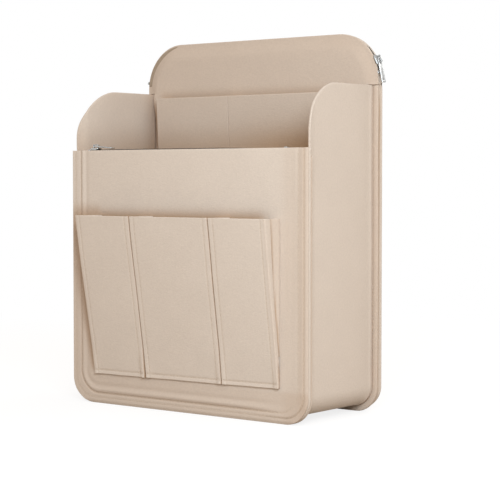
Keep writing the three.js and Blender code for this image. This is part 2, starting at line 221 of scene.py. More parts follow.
def thread_finish():
    finish = Finish("sewing_thread")
    twist = finish.grain(1, 1, 0.5, ((0.6, 0.6, 0.6), (1500, 5200, 1500)))
    tone = finish.spread(twist, 0.35, 0.65)
    colour = finish.colour_mix(tone, (0.50, 0.40, 0.30), (0.66, 0.55, 0.43))
    return finish.surface({
        "Base Color": colour,
        "Roughness": 0.7,
        "Sheen Weight": 0.1,
        "Normal": finish.bump(twist, 0.5, 0.0002),
    })


def tape_finish():
    finish = Finish("woven_tape")
    weft = finish.value(
        "ShaderNodeTexWave", {"bands_direction": "X"},
        {"Vector": finish.place, "Scale": 900, "Distortion": 0.6, "Detail": 1},
    )
    warp = finish.value(
        "ShaderNodeTexWave", {"bands_direction": "Z"},
        {"Vector": finish.place, "Scale": 900, "Distortion": 0.6, "Detail": 1},
    )
    weave = weft * 0.5 + warp * 0.5
    colour = finish.colour_mix(weave, (0.30, 0.22, 0.15), (0.50, 0.39, 0.29))
    return finish.surface({
        "Base Color": colour,
        "Roughness": 0.85,
        "Normal": finish.bump(weave, 0.5, 0.0003),
    })


def coil_finish():
    finish = Finish("nylon_coil")
    tone = finish.spread(finish.grain(700, 2), 0.35, 0.65)
    colour = finish.colour_mix(tone, (0.018, 0.012, 0.008), (0.036, 0.024, 0.017))
    return finish.surface({
        "Base Color": colour,
        "Roughness": finish.spread(tone, 0, 1, 0.34, 0.48),
    })


def metal_finish():
    finish = Finish("nickel_plate")
    scuff = finish.grain(1, 3, 0.6, ((0, 0, 0.5), (900, 5000, 900)))
    dull = finish.spread(scuff, 0.45, 0.75)
    colour = finish.colour_mix(dull, (0.50, 0.50, 0.49), (0.36, 0.36, 0.35))
    return finish.surface({
        "Base Color": colour,
        "Metallic": 1.0,
        "Roughness": finish.spread(dull, 0, 1, 0.24, 0.40),
        "Normal": finish.bump(scuff, 0.08, 0.0001),
    })


FELT = felt_finish()
THREAD_FINISH = thread_finish()
TAPE = tape_finish()
COIL = coil_finish()
METAL = metal_finish()


# Shapes

def share(x, low, high):
    """How far x has come on the way from low to high, between 0 and 1."""
    return min(1.0, max(0.0, (x - low) / (high - low)))


def smooth(x, low, high):
    """The same, with a soft start and a soft end."""
    t = share(x, low, high)
    return t * t * (3 - 2 * t)


def blend(a, b, t):
    return a + (b - a) * t


def hill(x, centre, width):
    return math.exp(-((x - centre) / width) ** 2)


def wobble(x, z, size, seed):
    return noise.noise(Vector((x / size, z / size, seed)))


def lines(*stretches):
    """Mesh line positions from stretches of (start, end, step)."""
    found = []
    for start, end, step in stretches:
        count = max(1, round((end - start) / step))
        for i in range(count + 1):
            place = start + (end - start) * i / count
            if not found or place - found[-1] > 0.05:
                found.append(place)
    return found


# Making a piece, and a sheet of felt with its stitches

def flat_grid(across, along):
    """A grid of faces at w = -1, with its lines at the given places."""
    bm = bmesh.new()
    columns, rows = len(across) - 1, len(along) - 1
    bmesh.ops.create_grid(bm, x_segments=columns, y_segments=rows, size=1)
    for vert in bm.verts:
        column = round((vert.co.x + 1) / 2 * columns)
        row = round((vert.co.y + 1) / 2 * rows)
        vert.co = (across[column], along[row], -1)
    return bm


def thicken(bm):
    """The grid's other face, at w = 1, joined to it all round the rim."""
    grown = bmesh.ops.extrude_face_region(bm, geom=bm.faces[:])
    raised = [v for v in grown["geom"] if isinstance(v, bmesh.types.BMVert)]
    bmesh.ops.translate(bm, vec=(0, 0, 2), verts=raised)


def fitted(name, mesh, finish, body, nodes):
    """A piece of the scene that rides on its body, in place of the CAD nodes it replaces."""
    mesh.shade_smooth()
    mesh.materials.clear()
    mesh.materials.append(finish)
    piece = bpy.data.objects.new(name, mesh)
    bpy.context.scene.collection.objects.link(piece)
    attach(piece, body)
    if nodes:
        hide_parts(*nodes)
    return piece


def finished(name, bm, finish, slot, body, *nodes):
    """A piece from a bmesh in millimetres, cleaned and brought to metres."""
    bmesh.ops.remove_doubles(bm, verts=bm.verts, dist=0.004)
    bmesh.ops.dissolve_degenerate(bm, edges=bm.edges, dist=0.003)
    bmesh.ops.recalc_face_normals(bm, faces=bm.faces)
    bmesh.ops.scale(bm, vec=(MM, MM, MM), verts=bm.verts)
    mesh = bpy.data.meshes.new(name)
    bm.to_mesh(mesh)
    bm.free()
    return fitted(name, mesh, finish, body, nodes)


class Felt:
    """A sheet of felt: cut flat in across (u) and along (v), 2 mm thick in w, then put in place.

    dent gives how far seams draw the felt in, on the face at w = side or on both if side is 0, and
    the painted shade in them.
    crease gives how much painted shade the felt has.
    """

    def __init__(self, across, along, place, dent=None, side=0, crease=None):
        self.across = across
        self.along = along
        self.place = place
        self.dent = dent or (lambda u, v: 0.0)
        self.side = side
        self.crease = crease or (lambda u, v, w: 0.0)
        self.stitch_bm = bmesh.new()

    def grid(self, gone=None, corners=()):
        """The flat cut, less the faces that are gone, with its corners rounded.

        A corner is the centre of its round and the way from there to the corner.
        """
        bm = flat_grid(self.across, self.along)
        if gone:
            outside = [f for f in bm.faces if gone(*f.calc_center_median().xy)]
            bmesh.ops.delete(bm, geom=outside, context="FACES")
        for u, v, to_u, to_v in corners:
            for vert in bm.verts:
                a, b = (vert.co.x - u) * to_u, (vert.co.y - v) * to_v
                if a > 1e-4 and b > 1e-4:
                    far = max(a, b)
                    angle = math.pi / 4 * (b / a if a >= b else 2 - a / b)
                    vert.co.x = u + to_u * far * math.cos(angle)
                    vert.co.y = v + to_v * far * math.sin(angle)
        thicken(bm)
        bmesh.ops.recalc_face_normals(bm, faces=bm.faces)
        rim = [
            e for e in bm.edges if len(e.link_faces) == 2 and e.calc_face_angle() > 1.2
            and abs(e.verts[0].co.z - e.verts[1].co.z) < 0.1
        ]
        bmesh.ops.bevel(
            bm, geom=rim, offset=EDGE_ROUND, segments=2, profile=0.5, affect="EDGES",
            material=-1,
        )
        return bm

    def piece(self, name, body, node, **cut):
        """The sheet bent into place, with how deep its seams are and the painted shade in its seams
        and creases.
        """
        bm = self.grid(**cut)
        seam = bm.verts.layers.float.new("seam")
        crease = bm.verts.layers.float.new("crease")
        for vert in bm.verts:
            u, v, w = vert.co
            dent = self.dent(u, v)
            vert[seam] = min(1.0, dent * 2)
            vert[crease] = self.crease(u, v, w)
            if self.side == 0 or self.side * w > 0:
                w *= 1 - dent
            vert.co = self.place(u, v, w)
        return finished(name, bm, FELT, "felt", body, node)

    def sew(self, track, side):
        """Thread stitches along a track of flat points, on the felt's face at w = side."""
        lengths = [0.0]
        for a, b in zip(track, track[1:]):
            lengths.append(lengths[-1] + math.dist(a, b))

        def at(distance):
            i = min(len(track) - 2, max(0, bisect.bisect_right(lengths, distance) - 1))
            span = lengths[i + 1] - lengths[i]
            t = (distance - lengths[i]) / span if span else 0
            u, v = (blend(p, q, t) for p, q in zip(track[i], track[i + 1]))
            sunk = 1 - self.dent(u, v) * STITCH_SINK
            return Vector(self.place(u, v, side * sunk)), Vector(self.place(u, v, 0))

        pitch = STITCH + STITCH_GAP
        count = int(lengths[-1] / pitch)
        spare = (lengths[-1] - count * pitch) / 2
        for i in range(count):
            start = spare + i * pitch + STITCH_GAP / 2
            a, _ = at(start)
            b, _ = at(start + STITCH)
            middle, inside = at(start + STITCH / 2)
            run = (b - a).normalized()
            out = middle - inside
            out = (out - run * out.dot(run)).normalized()
            turn = Matrix((run, out.cross(run), out)).transposed().to_4x4()
            shape = Matrix.Diagonal((STITCH / 2 + 0.1, THREAD, THREAD * 0.8, 1))
            lying = Matrix.Rotation(math.pi / 2, 4, "Y")
            bmesh.ops.create_uvsphere(
                self.stitch_bm, u_segments=6, v_segments=4, radius=1,
                matrix=Matrix.Translation(middle) @ turn @ shape @ lying,
            )

    def stitching(self, name, body):
        return finished(name, self.stitch_bm, THREAD_FINISH, "felt", body)


# Walls

# How far a wall's two lines of stitches lie in from its sides and its bottom, and their round
SEAM_TRACK = (SEAM_LINE, SEAM_LINE, SEAM_ROUND)
EDGE_TRACK = (EDGE_LINE, EDGE_LINE_BOTTOM, BOTTOM_ROUND - EDGE_LINE)

BOTTOM_CORNERS = [(side * (HALF_WIDTH - BOTTOM_ROUND), BOTTOM_ROUND, side, -1) for side in (-1, 1)]
ACROSS_WALL = lines((-120, -93, 0.65), (-93, 93, 6.2), (93, 120, 0.65))


def wall_inset(x, z, side=0.0, bottom=0.0, radius=BOTTOM_ROUND):
    """How far a point lies in from a wall's sides and bottom, or from a line along them."""
    across, up = HALF_WIDTH - side - abs(x), z - bottom
    if across < radius and up < radius:
        return radius - math.hypot(radius - across, radius - up)
    return min(across, up)


def wall_seams(x, z, deep=0.9):
    """How far a wall's felt is drawn in along its two lines of stitches."""
    right = smooth(x, 60, 112)
    seam = blend(deep, 0.06 * deep, right) * hill(wall_inset(x, z, *SEAM_TRACK), 0, 0.6)
    edge_width = blend(0.6, 0.45, right)
    edge = blend(0.22, 0.6, right) * deep * hill(wall_inset(x, z, *EDGE_TRACK), 0, edge_width)
    return seam + edge


def u_track(side, bottom, radius, top):
    """A line round a wall's sides and bottom, from its top left to its top right."""
    x = HALF_WIDTH - side
    track = [(-x, top), (-x, bottom + radius)]
    for i in range(1, 13):
        a = math.pi + math.pi / 2 * i / 12
        track.append((radius - x + radius * math.cos(a), bottom + radius + radius * math.sin(a)))
    track += [(-u, v) for u, v in reversed(track)]
    return track


# Front wall

def front_puff(x, z):
    """How far the front wall's outer layer stands out of its seam, with the felt's own waves."""
    inset = wall_inset(x, z, *SEAM_TRACK)
    inside = smooth(inset, 0, 3)
    right = smooth(x, 60, 100)
    ridge = blend(0.35, 0.05, right) * hill(inset, 2.6, 1.6)
    valley = blend(0.5, 0.1, right) * hill(inset, 6.4, 2.0)
    wave = 0.35 * wobble(x, z, 70, 3.1) + 0.12 * wobble(x, z, 22, 9.4)
    lip = 0.6 * right * smooth(-inset, -4, 5)
    lip *= smooth(wall_inset(x, z, *EDGE_TRACK), -0.6, 0.2)
    return inside * (blend(0.45, 0.1, right) + ridge - valley + wave) + lip


def front_surface(x, z):
    return FRONT_FACE - front_puff(x, z)


def widened(x):
    """The front wall is a little wider than the body on its left."""
    return x - 0.9 * smooth(-x, 111, 119)


def outer_pocket_painted_shade(x, z, w):
    """Painted shadow and shade on the front wall's felt: round the outer pocket, along its left and
    lower margins, and towards its right edge.
    """
    if w < 0:
        return 0.0
    reach = OUTER_REACH * share(z, 27, OUTER_TOP)
    aside = OUTER_LEFT - x
    beside = smooth(aside, -4, 0) * (1 - smooth(aside, 0.78 * reach + 2, 1.75 * reach + 8))
    beside *= smooth(z, 22, 34) * (1 - smooth(z, 153, 168))
    above = (1 - smooth(z, 152, 168)) * smooth(z, 140, 150)
    above *= 1 - smooth(x, 72, 94)
    above *= 1 - smooth(-x, 92, 104)
    left = (1 - smooth(x, -101, -93)) * (1 - smooth(z, 150, 166))
    below = (1 - smooth(z, 22, 27)) * (1 - left)
    right = 0.11 * smooth(x, 92, 104) + 0.13 * smooth(x, 109, 116) - 0.05 * smooth(x, 117, 119.5)
    return (
        BESIDE_OUTER * beside + ABOVE_OUTER * above * above * (1 - beside)
        + FRONT_MARGIN * left * (1 - 0.7 * beside) + FRONT_MARGIN * below * (1 - right) + right
    )


def make_front_wall():
    def outer_place(x, z, w):
        rolled = max(0.9 * (1 - smooth(z, 0, 2.6)), 0.6 * smooth(x, 118, 120))
        y = FRONT_FACE + 1 - w - front_puff(x, z) + rolled * (w + 1) / 2
        return (widened(x), y, z)

    outer = Felt(
        ACROSS_WALL, lines((0, 27, 0.65), (27, 147, 6), (147, 171, 2), (171, 200, 6), (200, 208, 2)),
        outer_place, wall_seams, 1, outer_pocket_painted_shade,
    )
    panel = outer.piece("front_wall_felt", "organizer", "front_outer_panel", corners=BOTTOM_CORNERS)
    for track in (SEAM_TRACK, EDGE_TRACK):
        outer.sew(u_track(*track, FRONT_HEIGHT - 1.5), 1)
    threads = outer.stitching("front_wall_stitching", "organizer")

    def lining_place(x, z, w):
        inset = wall_inset(x, z)
        drop = PAN_DROP * smooth(inset, PAN_RIM, PAN_FLOOR)
        wave = 0.3 * wobble(x, z, 60, 5.7) * smooth(inset, 14, 24)
        return (widened(x), FRONT_FACE + LAYER_PITCH + 1 + drop + wave - w, z)

    lining = Felt(
        lines((-120, -106, 0.9), (-106, -93, 2.3), (-93, 93, 6.2), (93, 106, 2.3), (106, 120, 0.9)),
        lines((0, 14, 0.9), (14, 27, 2.3), (27, 200, 6), (200, 208, 2)),
        lining_place,
    )
    lining_piece = lining.piece(
        "front_wall_lining", "organizer", "front_inner_panel", corners=BOTTOM_CORNERS,
    )


make_front_wall()


# Back wall

BACK_EDGE_RISE = 0.45
BACK_CORNERS = BOTTOM_CORNERS + [
    (side * (HALF_WIDTH - BACK_TOP_ROUND), BACK_HEIGHT - BACK_TOP_ROUND + BACK_EDGE_RISE, side, 1)
    for side in (-1, 1)
]
ALONG_BACK = lines(
    (0, 14, 0.65), (14, 27, 1.3), (27, 240, 6.5), (240, 257, 2.5), (257, 261.5, 0.25),
    (261.5, 268, 1.2), (268, 288, 3), (288, BACK_HEIGHT + BACK_EDGE_RISE, 1.2),
)


def off_the_floor(z):
    """The back wall's foot hangs a little higher than the front wall's."""
    return z + 1.5 * (1 - smooth(z, 0, 24))


def arch_inset(x, z):
    """How far a point of the back wall lies in from its edge, at the sides and over the top."""
    across, down = HALF_WIDTH - abs(x), BACK_HEIGHT - z
    if across < BACK_TOP_ROUND and down < BACK_TOP_ROUND:
        return BACK_TOP_ROUND - math.hypot(BACK_TOP_ROUND - across, BACK_TOP_ROUND - down)
    return min(across, down)


def back_pinch(x, z):
    """How far each side of the back wall leans towards the zip at its edge, as a share."""
    return (1 - smooth(arch_inset(x, z), 0.5, 13)) * smooth(z, 256, 259.5)


def back_dish(x, z, w):
    """How far the lining lies from the outer layer between its seams and above the gusset."""
    near_top = smooth(z, 225, 256)
    rim, floor = blend(PAN_RIM, 6.4, near_top), blend(PAN_FLOOR, 8.4, near_top)
    step = GUSSET_HEIGHT + 1 - w
    return PAN_DROP * max(smooth(wall_inset(x, z), rim, floor), smooth(z, step, step + 0.7))


def back_lining_surface(x, z, w=1):
    """The back wall's inner face, towards the main space."""
    inset = wall_inset(x, z)
    wave = (0.35 * wobble(x, z, 75, 1.9) + 0.1 * wobble(x, z, 24, 4.4)) * smooth(inset, 12, 24)
    pinch = blend(2.1, 3.4, smooth(-x, 60, 110)) * back_pinch(x, z)
    return REAR_FACE - LAYER_PITCH - FELT_THICKNESS - back_dish(x, z, w) + wave + pinch


def lining_painted_shade(x, z, w):
    """Painted shade on the back wall's lining: all over it, and most of all beside and above the
    inner pocket.
    """
    if w < 0:
        return 0.0
    beside = smooth(abs(x), 98, 101) * (1 - smooth(z, 238, 256)) * share(z, 117, 253)
    above = (1 - smooth(z, 252, 267)) ** 2 * smooth(z, 236, 248) * (1 - smooth(abs(x), 98, 106))
    rim = blend(0.02, 0.05, smooth(x, 40, 90)) * hill(arch_inset(x, z), 6, 6) * smooth(z, 257, 262)
    return BACK_LINING + BESIDE_INNER * beside + ABOVE_INNER * above * (1 - beside) + rim


def make_back_wall():
    lining = Felt(
        lines(
            (-120, -106, 0.9), (-106, -93, 2.3), (-93, -75, 3), (-75, 75, 6), (75, 93, 3),
            (93, 106, 2.3), (106, 120, 0.9),
        ),
        ALONG_BACK,
        lambda x, z, w: (x, back_lining_surface(x, z, w) + 1 - w, off_the_floor(z)),
        crease=lining_painted_shade,
    )
    lining_piece = lining.piece(
        "back_wall_lining", "organizer", "back_inner_panel", corners=BACK_CORNERS,
    )

    def outer_place(x, z, w):
        inset = wall_inset(x, z)
        inside = smooth(inset, SEAM_LINE, SEAM_LINE + 3) * smooth(arch_inset(x, z), 2, 9)
        wave = 0.3 * wobble(x, z, 80, 7.7) + 0.1 * wobble(x, z, 22, 2.2) - 0.15
        y = REAR_FACE - 1 + w + inside * wave - 0.8 * back_pinch(x, z)
        under_slider = 0.4 * smooth(z, 272, 299)
        return x, y, off_the_floor(z) - under_slider

    def outer_seams(x, z):
        return wall_seams(x, z, 0.6) * smooth(-z, -264, -256)

    outer = Felt(ACROSS_WALL, ALONG_BACK, outer_place, outer_seams, 1)
    panel = outer.piece("back_wall_felt", "organizer", "back_outer_panel", corners=BACK_CORNERS)
    for track in (SEAM_TRACK, EDGE_TRACK):
        outer.sew(u_track(*track, GUSSET_HEIGHT - 2), 1)
    threads = outer.stitching("back_wall_stitching", "organizer")


make_back_wall()


# Gusset: its strip runs up one side, along the bottom and up the other, with turned-out edges

GUSSET_FRONT = FRONT_FACE + 2 * LAYER_PITCH
GUSSET_REAR = REAR_FACE - 2 * LAYER_PITCH
TURNED_EDGE = 6.4
STRIP_WIDTH = 2 * TURNED_EDGE + (GUSSET_REAR - GUSSET_FRONT)
HALF_STRIP = STRIP_WIDTH / 2
FLANGE_TOP = 202
SIDE_STRAIGHT = HALF_WIDTH - BOTTOM_ROUND
CORNER_LENGTH = (BOTTOM_ROUND - SEAM_MARGIN) * math.pi / 2
CORNER_END = SIDE_STRAIGHT + CORNER_LENGTH
LEFT_FLARE = 7.2
RIGHT_FLARE = 2.8

# Distance across the strip from its edge, then inset and depth of its outside and of its inside
FRONT_TURN = (
    (0.0, 0.0, 2.0, 0.0, 0.0),
    (4.9, 4.9, 2.0, 5.6, 0.0),
    (5.6, 5.0, 2.0, 6.4, 0.15),
    (6.4, 5.0, 2.1, 6.9, 0.6),
    (7.1, 5.0, 2.5, 7.0, 1.4),
    (8.4, 5.0, 3.5, 7.0, 3.4),
    (HALF_STRIP, 5.0, HALF_STRIP - 5.2, 7.0, HALF_STRIP - 5.2),
)
REAR_TURN = (
    (0.0, 0.0, 2.0, 0.0, 0.0),
    (2.6, 2.6, 2.1, 2.8, 0.0),
    (4.3, 4.4, 1.6, 5.2, 0.0),
    (5.0, 5.5, 0.85, 6.4, 0.1),
    (5.5, 5.6, 1.45, 6.9, 0.4),
    (6.4, 4.9, 2.6, 7.0, 1.4),
    (7.8, 4.45, 4.3, 6.7, 3.2),
    (10.4, 4.9, 7.0, 6.9, 5.8),
    (13.4, 5.0, 10.0, 7.0, 8.8),
    (HALF_STRIP, 5.0, HALF_STRIP - 5.2, 7.0, HALF_STRIP - 5.2),
)


def between(keys, t):
    """A table's row for t, blended from the two rows whose first values it lies between."""
    i = max(0, min(len(keys) - 2, bisect.bisect_right([k[0] for k in keys], t) - 1))
    f = (t - keys[i][0]) / (keys[i + 1][0] - keys[i][0])
    return [blend(a, b, f) for a, b in zip(keys[i][1:], keys[i + 1][1:])]


def strip_section(u, free, flare):
    """(outside inset, outside y, inside inset, inside y) of the strip at u across it.

    free is 0 where the front edge is sewn to the wall and 1 where it stands free above it.
    flare is how far the front edge leans outwards.
    """
    if u > HALF_STRIP:
        out_inset, out_y, in_inset, in_y = between(REAR_TURN, STRIP_WIDTH - u)
        return out_inset, GUSSET_REAR - out_y, in_inset, GUSSET_REAR - in_y
    lean = flare * (0.65 * (1 - share(u, 6, 50)) ** 3 + 0.35 * (1 - smooth(u, 6, 14)))
    out_inset, out_y, in_inset, in_y = between(FRONT_TURN, u)
    if free and u < 36:
        depth = u - 4.9
        straight = (5.0, depth, 7.0, depth + 0.15)
        out_inset, out_y, in_inset, in_y = (
            blend(a, b, free) for a, b in zip((out_inset, out_y, in_inset, in_y), straight)
        )
    lean *= max(free, smooth(u, 5, 8.4))
    return out_inset - lean, GUSSET_FRONT + out_y, in_inset - lean, GUSSET_FRONT + in_y


def strip_point(v, inset):
    """(x, z) at v along the strip from the middle of the bottom, inset from the walls' edge."""
    side = -1 if v < 0 else 1
    s = abs(v)
    radius = BOTTOM_ROUND - inset
    if s <= SIDE_STRAIGHT:
        return side * s, inset
    if s <= CORNER_END:
        a = (s - SIDE_STRAIGHT) / CORNER_LENGTH * math.pi / 2
        return side * (SIDE_STRAIGHT + radius * math.sin(a)), BOTTOM_ROUND - radius * math.cos(a)
    return side * (HALF_WIDTH - inset), BOTTOM_ROUND + s - SIDE_STRAIGHT - CORNER_LENGTH


def strip_reach(z):
    """How far along the strip a height on its sides is."""
    return CORNER_END + z - BOTTOM_ROUND


def gusset_place(u, v, w):
    """The sides lean out towards their free front edge and wave a little at the rear."""
    side = -1 if v < 0 else 1
    rise = abs(v) - strip_reach(FLANGE_TOP)
    flare = (RIGHT_FLARE if side > 0 else LEFT_FLARE) * smooth(rise, -42, 12)
    out_inset, out_y, in_inset, in_y = strip_section(u, smooth(rise, 0, 5), flare)
    f = (w + 1) / 2
    inset, y = blend(in_inset, out_inset, f), blend(in_y, out_y, f)
    rear = smooth(y, GUSSET_REAR - 16, GUSSET_REAR - 4)
    tall = smooth(abs(v), CORNER_END - 15, CORNER_END + 25)
    wave = rear * tall * (0.5 * wobble(y + 40 * side, abs(v), 65, 6.6 + side))
    x, z = strip_point(v, inset - wave)
    sag = blend(3.6, 1.8, (y - GUSSET_FRONT) / (GUSSET_REAR - GUSSET_FRONT))
    sag *= smooth(y, GUSSET_REAR - 2, GUSSET_REAR + 5)
    return x, y, z - sag * (1 - smooth(z, 5, 34))


def gusset_painted_shade(u, v, w):
    """Painted shade on the strip: outside in its rear seam and on its rear flange, inside low down
    and towards the rear.
    """
    t = STRIP_WIDTH - u
    if w > 0:
        return max(0.7 * hill(t, 4.7, 0.3), 0.2 * (1 - smooth(t, 3.6, 4.8)))
    rise = abs(v) - strip_reach(0)
    off_the_bottom = smooth(rise, 0, 30)
    rear = GUSSET_REAR_INSIDE * (1 - smooth(t, 7, 24)) * off_the_bottom
    low = blend(1.0, 0.6, smooth(t, 10, 90)) * (1 - smooth(rise, 203, 238)) * off_the_bottom
    return rear + GUSSET_INSIDE + GUSSET_LOW * low * (1 - rear)


def make_gusset():
    top = strip_reach(GUSSET_HEIGHT)
    flange_top = strip_reach(FLANGE_TOP)
    half_along = lines(
        (0, SIDE_STRAIGHT, 7), (SIDE_STRAIGHT, CORNER_END, 1.6), (CORNER_END, CORNER_END + 18, 3),
        (CORNER_END + 18, flange_top, 6.5), (flange_top, flange_top + 8, 0.8),
        (flange_top + 8, top, 2.0),
    )
    along = [-v for v in reversed(half_along[1:])] + half_along
    across = lines(
        (0, 5, 1.0), (5, 9, 0.55), (9, 51, 2.1), (51, STRIP_WIDTH - 27, 5.5),
        (STRIP_WIDTH - 27, STRIP_WIDTH - 15, 3), (STRIP_WIDTH - 15, STRIP_WIDTH - 8, 0.7),
        (STRIP_WIDTH - 8, STRIP_WIDTH - 4, 0.3), (STRIP_WIDTH - 4, STRIP_WIDTH, 0.8),
    )
    free_edge = min(across, key=lambda u: abs(u - TURNED_EDGE))
    centre = free_edge + GUSSET_ROUND
    gusset = Felt(across, along, gusset_place, crease=gusset_painted_shade)
    piece = gusset.piece(
        "gusset_felt", "organizer", "gusset",
        gone=lambda u, v: abs(v) > flange_top and u < free_edge,
        corners=[(centre, side * (top - GUSSET_ROUND), -1, side) for side in (-1, 1)],
    )
    2 * top * MM


make_gusset()


# Pockets: each section is one length of felt, folded back to the wall at its two sides

FLANGE = 5
FLANGE_TIP = 7
FLANGE_START = 24
FLANGE_CUT = 0.85
FOOT_ROUND = 0.8
DOUBLED = 2.5
FIN_STEP = 1.6
FIN_LEAST = 0.01
FOLD_LINE = 4.6
FOOT_LINE = 3.4
FOLD_DENT = 0.28
POCKET_HEM = 3


class PocketSection:
    """One section of a pocket between two folds. feet and folds are x at the wall and at the face.

    With a fin, the felt doubles back behind its face at each fold before it goes to the wall.
    fin is the least share of the pocket's reach that this takes. lifts are how far the face
    stands forward at its two lower ends, and free says which of its ends has no neighbour.

    marks divide the felt's length from each of its ends. After 0 they are where these end: the
    flange on the wall, the turn away from it, the side, the step into the fin, the fin's rear
    round, the doubled felt and the round into the face.
    """

    def __init__(self, surface, feet, folds, bottom, top, reach, seed, fold_round, fin, lifts, free):
        self.surface, self.feet, self.folds = surface, feet, folds
        self.bottom, self.top, self.reach, self.seed = bottom, top, reach, seed
        self.round, self.fin, self.lifts, self.free = fold_round, fin, lifts, free
        self.tilt = 0.0115 if fin else 0.0
        self.width = folds[1] - folds[0]
        quarter = fold_round * math.pi / 2
        steps = [FLANGE, FOOT_ROUND * math.pi / 2, reach - 4 if fin else reach - 2]
        steps += [FIN_STEP, quarter, DOUBLED, quarter] if fin else [0, 0, 0, quarter]
        self.marks = [0.0]
        for step in steps:
            self.marks.append(self.marks[-1] + step)
        end = self.marks[-1]
        self.total = 2 * end + self.width - 2 * fold_round
        self.face = (end, self.total - end)
        sizes = (2.5, 0.45, 3, 0.8, 0.42, 1.25, 0.42)
        half = lines(*zip(self.marks, self.marks[1:], sizes), (end, end + 7.5, 0.6))
        other = [self.total - u for u in reversed(half)]
        self.across = half + lines((half[-1], other[0], 5))[1:-1] + other

    def end(self, u):
        """The nearer end of the section, 0 or 1, and how far u is from it."""
        return (0, u) if u < self.total / 2 else (1, self.total - u)

    def edge(self, index, z):
        """x of a fold at a height, and how far the face has come out from the wall there."""
        out = share(z - self.bottom - POCKET_HEM, 0, self.top - self.bottom - POCKET_HEM)
        return blend(self.feet[index], self.folds[index], out), out

    def face_y(self, x, z, near, index, out):
        """y of the face at a point that is near to a fold, with its belly and waves."""
        belly = 0.5 * math.sin(math.pi * out)
        wave = out * (0.7 * wobble(x, z, 48, self.seed) + 0.15 * wobble(x, z, 18, self.seed + 3))
        low = 1 - smooth(z, self.bottom, self.bottom + 30)
        lift = self.lifts[index] * (1 - smooth(near, 1.5, 7)) * low
        return self.surface(x, z) - 2.15 - (self.reach - 2.3) * out - belly + wave - lift

    def fold(self, t, span, foot_in):
        """Outside and inside of the felt at t: each x in from the fold, then y back from the face."""
        r = self.round
        deep = min(max(4.1, self.fin * span), max(2.0, span - 0.1)) if self.fin else r
        over, joint = (2.4, deep + 0.2) if self.fin else (0.0, r)
        free = span - (deep if self.fin else 0)
        thin = min(2.0, max(0.5, free))
        turn = min(FOOT_ROUND, 0.4 * max(0.1, free))
        i = max(0, min(6, bisect.bisect_right(self.marks, t) - 1))
        step = self.marks[i + 1] - self.marks[i]
        f = (t - self.marks[i]) / step if step else 1.0
        bend = f * math.pi / 2
        if i == 0:
            outside, inside = blend(FLANGE_TIP, turn, f), blend(FLANGE_TIP, FELT_THICKNESS, f)
            return foot_in + outside, span, foot_in + inside, span - thin
        if i == 1:
            x, y = turn * (1 - math.sin(bend)), turn * (1 - math.cos(bend))
            return foot_in + x, span - y, foot_in + FELT_THICKNESS, span - thin
        if i == 2:
            return (
                blend(foot_in, over, f), blend(span - turn, joint, f),
                blend(foot_in + FELT_THICKNESS, over + FELT_THICKNESS, f),
                blend(span - thin, 2.15, f),
            )
        if i == 3:
            return blend(over, r, f), deep, blend(over + 1.9, 2.0, f), 2.1
        if i == 4:
            return r * (1 - math.sin(bend)), deep - r * (1 - math.cos(bend)), blend(2.0, 1.9, f), 2.08
        if i == 5:
            return 0.0, blend(deep - r, r, f), 1.9, 2.05
        return r * (1 - math.cos(bend)), r * (1 - math.sin(bend)), blend(1.9, 2.0, f), 2.0

    def section(self, u, z):
        """Outside and inside of the felt at u, as x and y each."""
        index, t = self.end(u)
        towards = 1 if index == 0 else -1
        fold_x, out = self.edge(index, z)
        if t >= self.marks[-1]:
            r = self.round
            left, right = self.edge(0, z)[0], self.edge(1, z)[0]
            x = blend(left + r, right - r, (u - self.face[0]) / (self.face[1] - self.face[0]))
            y = self.face_y(x, z, abs(x - fold_x), index, out)
            in_x = min(right - FELT_THICKNESS, max(left + FELT_THICKNESS, x))
            return x, y, in_x, y + FELT_THICKNESS
        face = self.face_y(fold_x, z, 0, index, out)
        span = self.surface(self.feet[index], z) - 0.15 - face
        out_x, out_y, in_x, in_y = self.fold(t, span, (self.feet[index] - fold_x) * towards)
        return fold_x + towards * out_x, face + out_y, fold_x + towards * in_x, face + in_y

    def place(self, u, z, w):
        """The felt's point in space. Its lower edge sways, and slopes a little across the wall."""
        out_x, out_y, in_x, in_y = self.section(u, z)
        f = (w + 1) / 2
        low = self.bottom
        sway = 0.45 * wobble(u, 0, 22, self.seed + 8) * (1 - smooth(z, low, low + 14))
        x = blend(in_x, out_x, f)
        tilt = self.tilt * x * (1 - smooth(z, low, low + 70))
        return x, blend(in_y, out_y, f), z + sway + tilt

    def dent(self, u, z):
        """How far the stitches beside the folds and along the foot draw the felt in."""
        near = min(u - self.face[0], self.face[1] - u) + self.round
        if near < 0 or not self.fin:
            return 0.0
        foot = FOLD_DENT * hill(z, self.bottom + FOOT_LINE, 0.6) if near > 1 else 0.0
        return max(foot, FOLD_DENT * hill(near, FOLD_LINE, 0.5))

    def crease(self, u, z, w):
        """Painted shade on the felt's outside: in the pleats, round the free ends, or inside the bag.
        """
        if w < 0:
            return 0.0
        index, t = self.end(u)
        if not self.fin:
            return self.inside_shade(u, z, index, t)
        if self.free[index]:
            return self.end_shade(z, index, t)
        return PLEAT * (1 - smooth(t, self.marks[6] - 0.5, self.marks[7]))

    def inside_shade(self, u, z, index, t):
        """Painted shade on the inner pocket: more low down and towards its right, and less on its
        free folds.
        """
        x = self.edge(0, z)[0] + u - self.face[0]
        fold = 0.1 * self.free[index] * hill(t, self.marks[-1], 1.5)
        low = INNER_POCKET_DEEP * (1 - smooth(z, 206, 236))
        right = INNER_POCKET_DEEP * smooth(x, -60, 90) * (1 - smooth(z, 212, 252))
        return INNER_POCKET - fold + low + right

